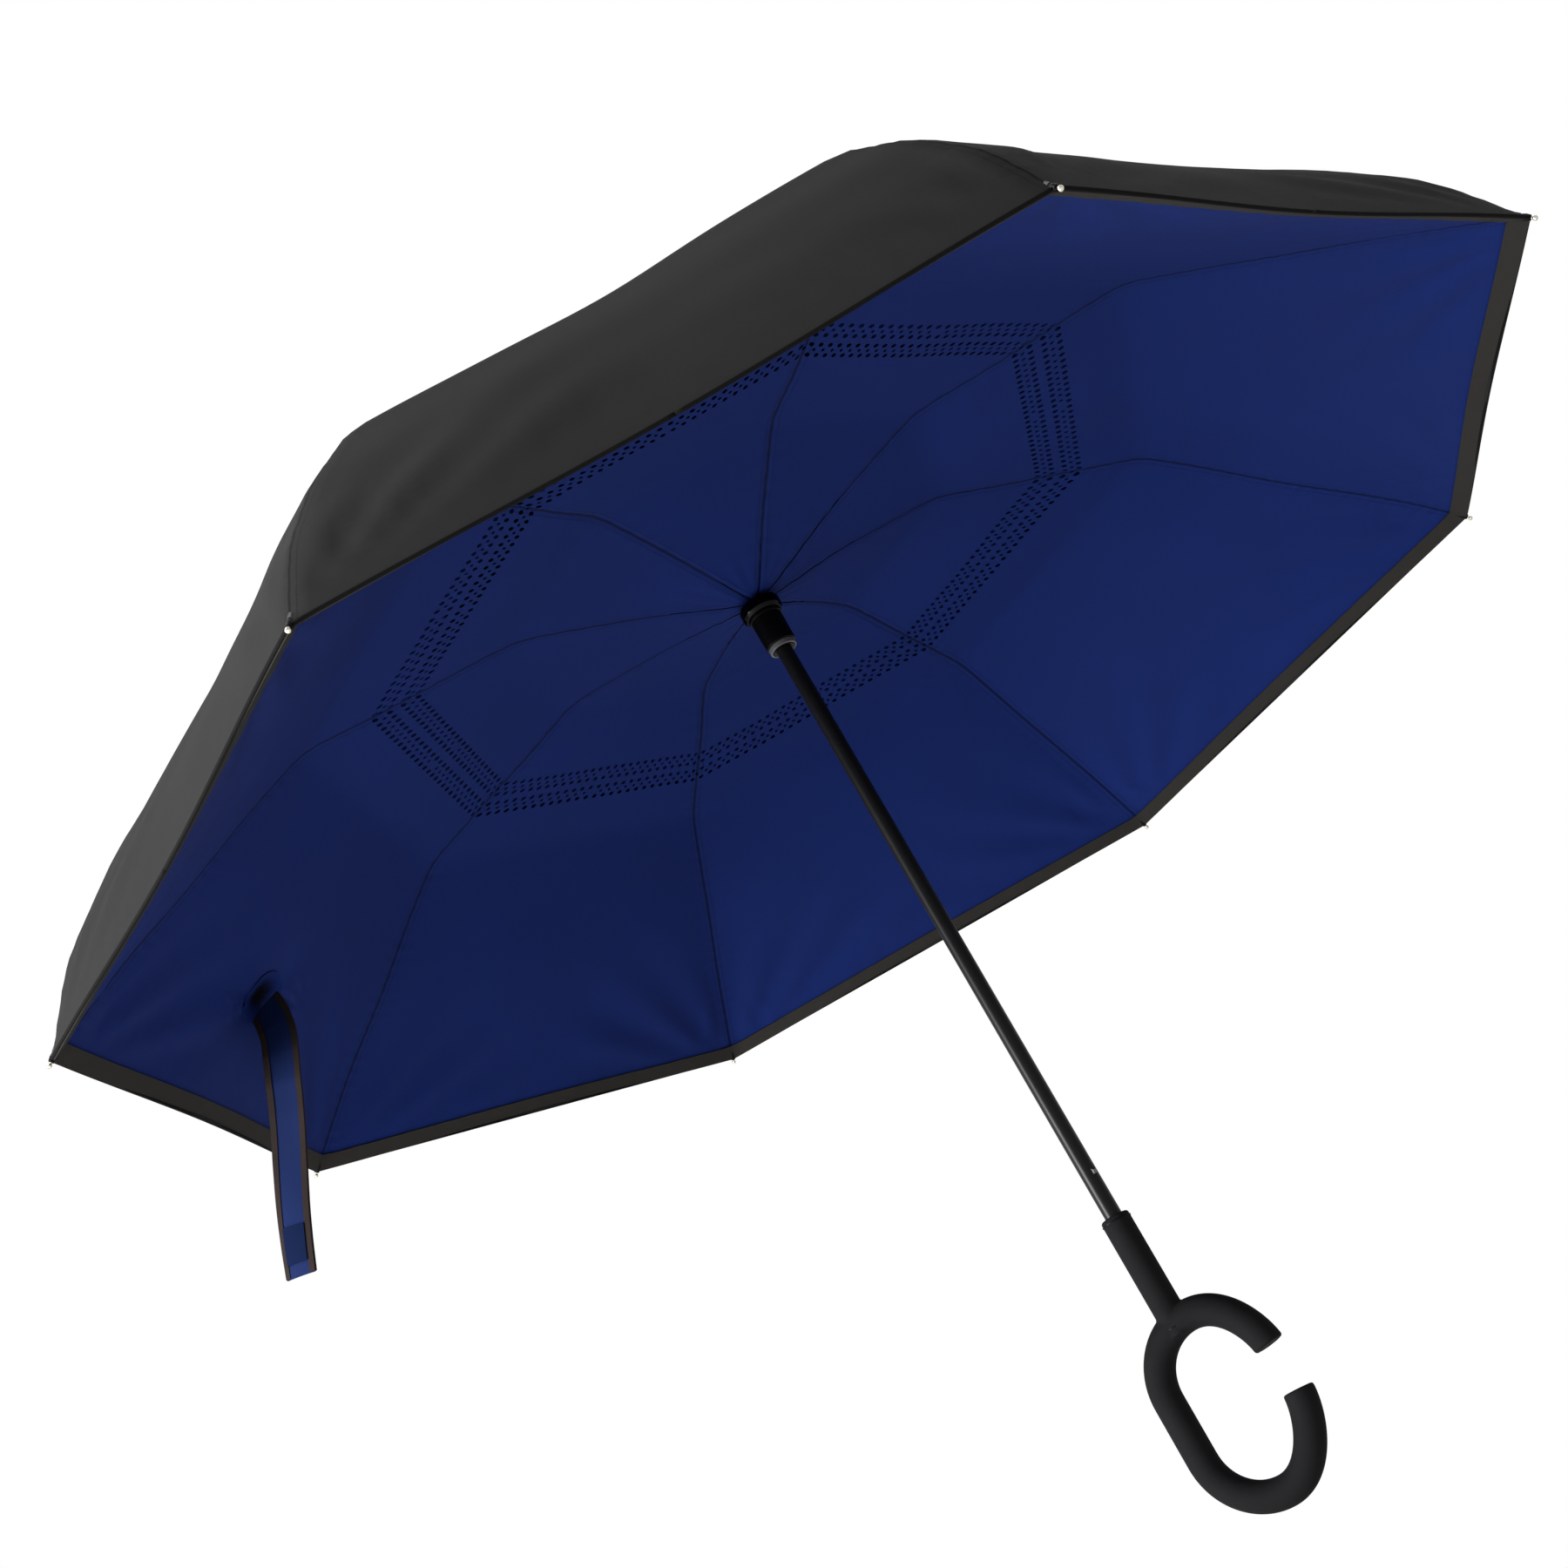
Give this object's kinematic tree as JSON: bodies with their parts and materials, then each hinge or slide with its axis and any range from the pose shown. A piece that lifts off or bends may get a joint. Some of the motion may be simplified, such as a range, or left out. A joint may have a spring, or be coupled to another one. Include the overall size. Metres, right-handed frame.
{
  "type": "stick umbrella",
  "caption": "Open reverse-folding stick umbrella with a dark canopy over a blue lining, jointed spokes, a sliding runner and a C-shaped loop handle.",
  "frame": {"origin": "on the shaft's axis at the handle's lowest point", "axes": "+Z along the shaft towards the cap; +X in the plane of the loop handle, towards its closed back; one spoke lies along +X"},
  "size_m": [1.055, 1.055, 0.8298],
  "materials": {
    "grip_softtouch": "fine matt soft-touch coating over moulded plastic",
    "black_metal": "satin black enamel",
    "black_plastic": "moulded, slightly satin",
    "gloss_plastic": "polished black moulding",
    "grey_collar": "grey satin moulding",
    "bright_steel": "drawn steel",
    "fibreglass": "pultruded fibreglass, dull gloss",
    "black_cloth": "tight plain-weave pongee with a water-repellent finish",
    "navy_cloth": "tight plain-weave pongee",
    "strap_cloth": "two layers of the lining cloth with dark bound edges",
    "hook_tape": "hook-and-loop tape",
    "tip_metal": "nickel-plated bead"
  },
  "bodies": {
    "root": {"handle": "grip_softtouch", "handle_pin": "black_metal", "shaft_tube": "black_metal", "top_notch": "black_plastic", "notch_wire": "bright_steel", "canopy_washer": "black_cloth", "top_cap": "black_plastic", "outer_canopy": "black_cloth"},
    "runner": {"runner_body": "black_plastic", "runner_wire": "bright_steel", "runner_sleeve": "black_plastic", "runner_collar": "grey_collar", "runner_flange": "gloss_plastic", "lining": "navy_cloth"},
    "lower_catch": {"lower_catch": "bright_steel"},
    "upper_catch": {"upper_catch": "bright_steel"},
    "strap": {"strap": "strap_cloth", "strap_patch": "hook_tape"},
    "stretcher_1": {"stretcher_1": "black_metal"},
    "rib_1": {"rib_1": "black_metal"},
    "rod_1": {"rod_1": "fibreglass"},
    "rod_end_1": {"rod_end_1": "fibreglass", "tip_1": "tip_metal"},
    "stretcher_2": {"stretcher_2": "black_metal"},
    "rib_2": {"rib_2": "black_metal"},
    "rod_2": {"rod_2": "fibreglass"},
    "rod_end_2": {"rod_end_2": "fibreglass", "tip_2": "tip_metal"},
    "stretcher_3": {"stretcher_3": "black_metal"},
    "rib_3": {"rib_3": "black_metal"},
    "rod_3": {"rod_3": "fibreglass"},
    "rod_end_3": {"rod_end_3": "fibreglass", "tip_3": "tip_metal"},
    "stretcher_4": {"stretcher_4": "black_metal"},
    "rib_4": {"rib_4": "black_metal"},
    "rod_4": {"rod_4": "fibreglass"},
    "rod_end_4": {"rod_end_4": "fibreglass", "tip_4": "tip_metal"},
    "stretcher_5": {"stretcher_5": "black_metal"},
    "rib_5": {"rib_5": "black_metal"},
    "rod_5": {"rod_5": "fibreglass"},
    "rod_end_5": {"rod_end_5": "fibreglass", "tip_5": "tip_metal"},
    "stretcher_6": {"stretcher_6": "black_metal"},
    "rib_6": {"rib_6": "black_metal"},
    "rod_6": {"rod_6": "fibreglass"},
    "rod_end_6": {"rod_end_6": "fibreglass", "tip_6": "tip_metal"},
    "stretcher_7": {"stretcher_7": "black_metal"},
    "rib_7": {"rib_7": "black_metal"},
    "rod_7": {"rod_7": "fibreglass"},
    "rod_end_7": {"rod_end_7": "fibreglass", "tip_7": "tip_metal"},
    "stretcher_8": {"stretcher_8": "black_metal"},
    "rib_8": {"rib_8": "black_metal"},
    "rod_8": {"rod_8": "fibreglass"},
    "rod_end_8": {"rod_end_8": "fibreglass", "tip_8": "tip_metal"}
  },
  "joints": [
    {"name": "fold", "type": "hinge", "parent": "root", "child": "stretcher_1", "pos_m": [0.0099, 0.0099, 0.8065], "axis": [-0.7071, 0.7071, 0], "range_deg": [0, 72.2], "deforming": ["outer_canopy", "lining"]},
    {"name": "stretcher_2_turn", "type": "hinge", "parent": "root", "child": "stretcher_2", "pos_m": [0.014, 0, 0.8065], "axis": [0, 1, 0], "range_deg": [0, 72.25]},
    {"name": "stretcher_3_turn", "type": "hinge", "parent": "root", "child": "stretcher_3", "pos_m": [0.0099, -0.0099, 0.8065], "axis": [0.7071, 0.7071, 0], "range_deg": [0, 72.25]},
    {"name": "stretcher_4_turn", "type": "hinge", "parent": "root", "child": "stretcher_4", "pos_m": [0, -0.014, 0.8065], "axis": [1, 0, 0], "range_deg": [0, 72.25]},
    {"name": "stretcher_5_turn", "type": "hinge", "parent": "root", "child": "stretcher_5", "pos_m": [-0.0099, -0.0099, 0.8065], "axis": [0.7071, -0.7071, 0], "range_deg": [0, 72.25]},
    {"name": "stretcher_6_turn", "type": "hinge", "parent": "root", "child": "stretcher_6", "pos_m": [-0.014, 0, 0.8065], "axis": [0, -1, 0], "range_deg": [0, 72.25]},
    {"name": "stretcher_7_turn", "type": "hinge", "parent": "root", "child": "stretcher_7", "pos_m": [-0.0099, 0.0099, 0.8065], "axis": [-0.7071, -0.7071, 0], "range_deg": [0, 72.25]},
    {"name": "stretcher_8_turn", "type": "hinge", "parent": "root", "child": "stretcher_8", "pos_m": [0, 0.014, 0.8065], "axis": [-1, 0, 0], "range_deg": [0, 72.25]},
    {"name": "rib_1_turn", "type": "hinge", "parent": "stretcher_1", "child": "rib_1", "pos_m": [0.19448, 0.19448, 0.7375], "axis": [-0.7071, 0.7071, 0], "range_deg": [-144.45, 0]},
    {"name": "rod_1_turn", "type": "hinge", "parent": "rib_1", "child": "rod_1", "pos_m": [0.20268, 0.20268, 0.74057], "axis": [-0.7071, 0.7071, 0], "range_deg": [-41.2, 0]},
    {"name": "rod_end_1_flex", "type": "hinge", "parent": "rod_1", "child": "rod_end_1", "pos_m": [0.29133, 0.29133, 0.664], "axis": [-0.7071, 0.7071, 0], "range_deg": [-20.41, 0]},
    {"name": "rib_2_turn", "type": "hinge", "parent": "stretcher_2", "child": "rib_2", "pos_m": [0.27503, 0, 0.7375], "axis": [0, 1, 0], "range_deg": [-144.45, 0]},
    {"name": "rod_2_turn", "type": "hinge", "parent": "rib_2", "child": "rod_2", "pos_m": [0.28664, 0, 0.74057], "axis": [0, 1, 0], "range_deg": [-41.2, 0]},
    {"name": "rod_end_2_flex", "type": "hinge", "parent": "rod_2", "child": "rod_end_2", "pos_m": [0.412, 0, 0.664], "axis": [0, 1, 0], "range_deg": [-20.41, 0]},
    {"name": "rib_3_turn", "type": "hinge", "parent": "stretcher_3", "child": "rib_3", "pos_m": [0.19448, -0.19448, 0.7375], "axis": [0.7071, 0.7071, 0], "range_deg": [-144.45, 0]},
    {"name": "rod_3_turn", "type": "hinge", "parent": "rib_3", "child": "rod_3", "pos_m": [0.20268, -0.20268, 0.74057], "axis": [0.7071, 0.7071, 0], "range_deg": [-41.2, 0]},
    {"name": "rod_end_3_flex", "type": "hinge", "parent": "rod_3", "child": "rod_end_3", "pos_m": [0.29133, -0.29133, 0.664], "axis": [0.7071, 0.7071, 0], "range_deg": [-20.41, 0]},
    {"name": "rib_4_turn", "type": "hinge", "parent": "stretcher_4", "child": "rib_4", "pos_m": [0, -0.27503, 0.7375], "axis": [1, 0, 0], "range_deg": [-144.45, 0]},
    {"name": "rod_4_turn", "type": "hinge", "parent": "rib_4", "child": "rod_4", "pos_m": [0, -0.28664, 0.74057], "axis": [1, 0, 0], "range_deg": [-41.2, 0]},
    {"name": "rod_end_4_flex", "type": "hinge", "parent": "rod_4", "child": "rod_end_4", "pos_m": [0, -0.412, 0.664], "axis": [1, 0, 0], "range_deg": [-20.41, 0]},
    {"name": "rib_5_turn", "type": "hinge", "parent": "stretcher_5", "child": "rib_5", "pos_m": [-0.19448, -0.19448, 0.7375], "axis": [0.7071, -0.7071, 0], "range_deg": [-144.45, 0]},
    {"name": "rod_5_turn", "type": "hinge", "parent": "rib_5", "child": "rod_5", "pos_m": [-0.20268, -0.20268, 0.74057], "axis": [0.7071, -0.7071, 0], "range_deg": [-41.2, 0]},
    {"name": "rod_end_5_flex", "type": "hinge", "parent": "rod_5", "child": "rod_end_5", "pos_m": [-0.29133, -0.29133, 0.664], "axis": [0.7071, -0.7071, 0], "range_deg": [-20.41, 0]},
    {"name": "rib_6_turn", "type": "hinge", "parent": "stretcher_6", "child": "rib_6", "pos_m": [-0.27503, 0, 0.7375], "axis": [0, -1, 0], "range_deg": [-144.45, 0]},
    {"name": "rod_6_turn", "type": "hinge", "parent": "rib_6", "child": "rod_6", "pos_m": [-0.28664, 0, 0.74057], "axis": [0, -1, 0], "range_deg": [-41.2, 0]},
    {"name": "rod_end_6_flex", "type": "hinge", "parent": "rod_6", "child": "rod_end_6", "pos_m": [-0.412, 0, 0.664], "axis": [0, -1, 0], "range_deg": [-20.41, 0]},
    {"name": "rib_7_turn", "type": "hinge", "parent": "stretcher_7", "child": "rib_7", "pos_m": [-0.19448, 0.19448, 0.7375], "axis": [-0.7071, -0.7071, 0], "range_deg": [-144.45, 0]},
    {"name": "rod_7_turn", "type": "hinge", "parent": "rib_7", "child": "rod_7", "pos_m": [-0.20268, 0.20268, 0.74057], "axis": [-0.7071, -0.7071, 0], "range_deg": [-41.2, 0]},
    {"name": "rod_end_7_flex", "type": "hinge", "parent": "rod_7", "child": "rod_end_7", "pos_m": [-0.29133, 0.29133, 0.664], "axis": [-0.7071, -0.7071, 0], "range_deg": [-20.41, 0]},
    {"name": "rib_8_turn", "type": "hinge", "parent": "stretcher_8", "child": "rib_8", "pos_m": [0, 0.27503, 0.7375], "axis": [-1, 0, 0], "range_deg": [-144.45, 0]},
    {"name": "rod_8_turn", "type": "hinge", "parent": "rib_8", "child": "rod_8", "pos_m": [0, 0.28664, 0.74057], "axis": [-1, 0, 0], "range_deg": [-41.2, 0]},
    {"name": "rod_end_8_flex", "type": "hinge", "parent": "rod_8", "child": "rod_end_8", "pos_m": [0, 0.412, 0.664], "axis": [-1, 0, 0], "range_deg": [-20.41, 0]},
    {"name": "runner_travel", "type": "hinge", "parent": "rib_1", "child": "runner", "pos_m": [0.0099, 0.0099, 0.6685], "axis": [-0.7071, 0.7071, 0], "range_deg": [0, 72.25]},
    {"name": "strap_gather", "type": "slide", "parent": "rod_end_1", "child": "strap", "axis": [-0.7071, 0.7071, 0], "range_m": [0, 0.1105]},
    {"name": "lower_catch_press", "type": "slide", "parent": "root", "child": "lower_catch", "axis": [0.866, -0.5, 0], "range_m": [0, 0.0018], "stiffness_N_per_m": 400, "springref_m": -0.002},
    {"name": "upper_catch_press", "type": "slide", "parent": "root", "child": "upper_catch", "axis": [-0.866, 0.5, 0], "range_m": [0, 0.0018], "stiffness_N_per_m": 400, "springref_m": -0.002}
  ],
  "couplings": [
    {"joint": "stretcher_2_turn", "follows": "fold", "ratio": 1},
    {"joint": "stretcher_3_turn", "follows": "fold", "ratio": 1},
    {"joint": "stretcher_4_turn", "follows": "fold", "ratio": 1},
    {"joint": "stretcher_5_turn", "follows": "fold", "ratio": 1},
    {"joint": "stretcher_6_turn", "follows": "fold", "ratio": 1},
    {"joint": "stretcher_7_turn", "follows": "fold", "ratio": 1},
    {"joint": "stretcher_8_turn", "follows": "fold", "ratio": 1},
    {"joint": "rib_1_turn", "follows": "fold", "ratio": -2},
    {"joint": "rod_1_turn", "follows": "fold", "ratio": -0.57},
    {"joint": "rod_end_1_flex", "follows": "fold", "ratio": -0.282},
    {"joint": "rib_2_turn", "follows": "fold", "ratio": -2},
    {"joint": "rod_2_turn", "follows": "fold", "ratio": -0.57},
    {"joint": "rod_end_2_flex", "follows": "fold", "ratio": -0.282},
    {"joint": "rib_3_turn", "follows": "fold", "ratio": -2},
    {"joint": "rod_3_turn", "follows": "fold", "ratio": -0.57},
    {"joint": "rod_end_3_flex", "follows": "fold", "ratio": -0.282},
    {"joint": "rib_4_turn", "follows": "fold", "ratio": -2},
    {"joint": "rod_4_turn", "follows": "fold", "ratio": -0.57},
    {"joint": "rod_end_4_flex", "follows": "fold", "ratio": -0.282},
    {"joint": "rib_5_turn", "follows": "fold", "ratio": -2},
    {"joint": "rod_5_turn", "follows": "fold", "ratio": -0.57},
    {"joint": "rod_end_5_flex", "follows": "fold", "ratio": -0.282},
    {"joint": "rib_6_turn", "follows": "fold", "ratio": -2},
    {"joint": "rod_6_turn", "follows": "fold", "ratio": -0.57},
    {"joint": "rod_end_6_flex", "follows": "fold", "ratio": -0.282},
    {"joint": "rib_7_turn", "follows": "fold", "ratio": -2},
    {"joint": "rod_7_turn", "follows": "fold", "ratio": -0.57},
    {"joint": "rod_end_7_flex", "follows": "fold", "ratio": -0.282},
    {"joint": "rib_8_turn", "follows": "fold", "ratio": -2},
    {"joint": "rod_8_turn", "follows": "fold", "ratio": -0.57},
    {"joint": "rod_end_8_flex", "follows": "fold", "ratio": -0.282},
    {"joint": "runner_travel", "follows": "fold", "ratio": 1},
    {"joint": "strap_gather", "follows": "fold", "m_per_rad": 0.087293}
  ]
}
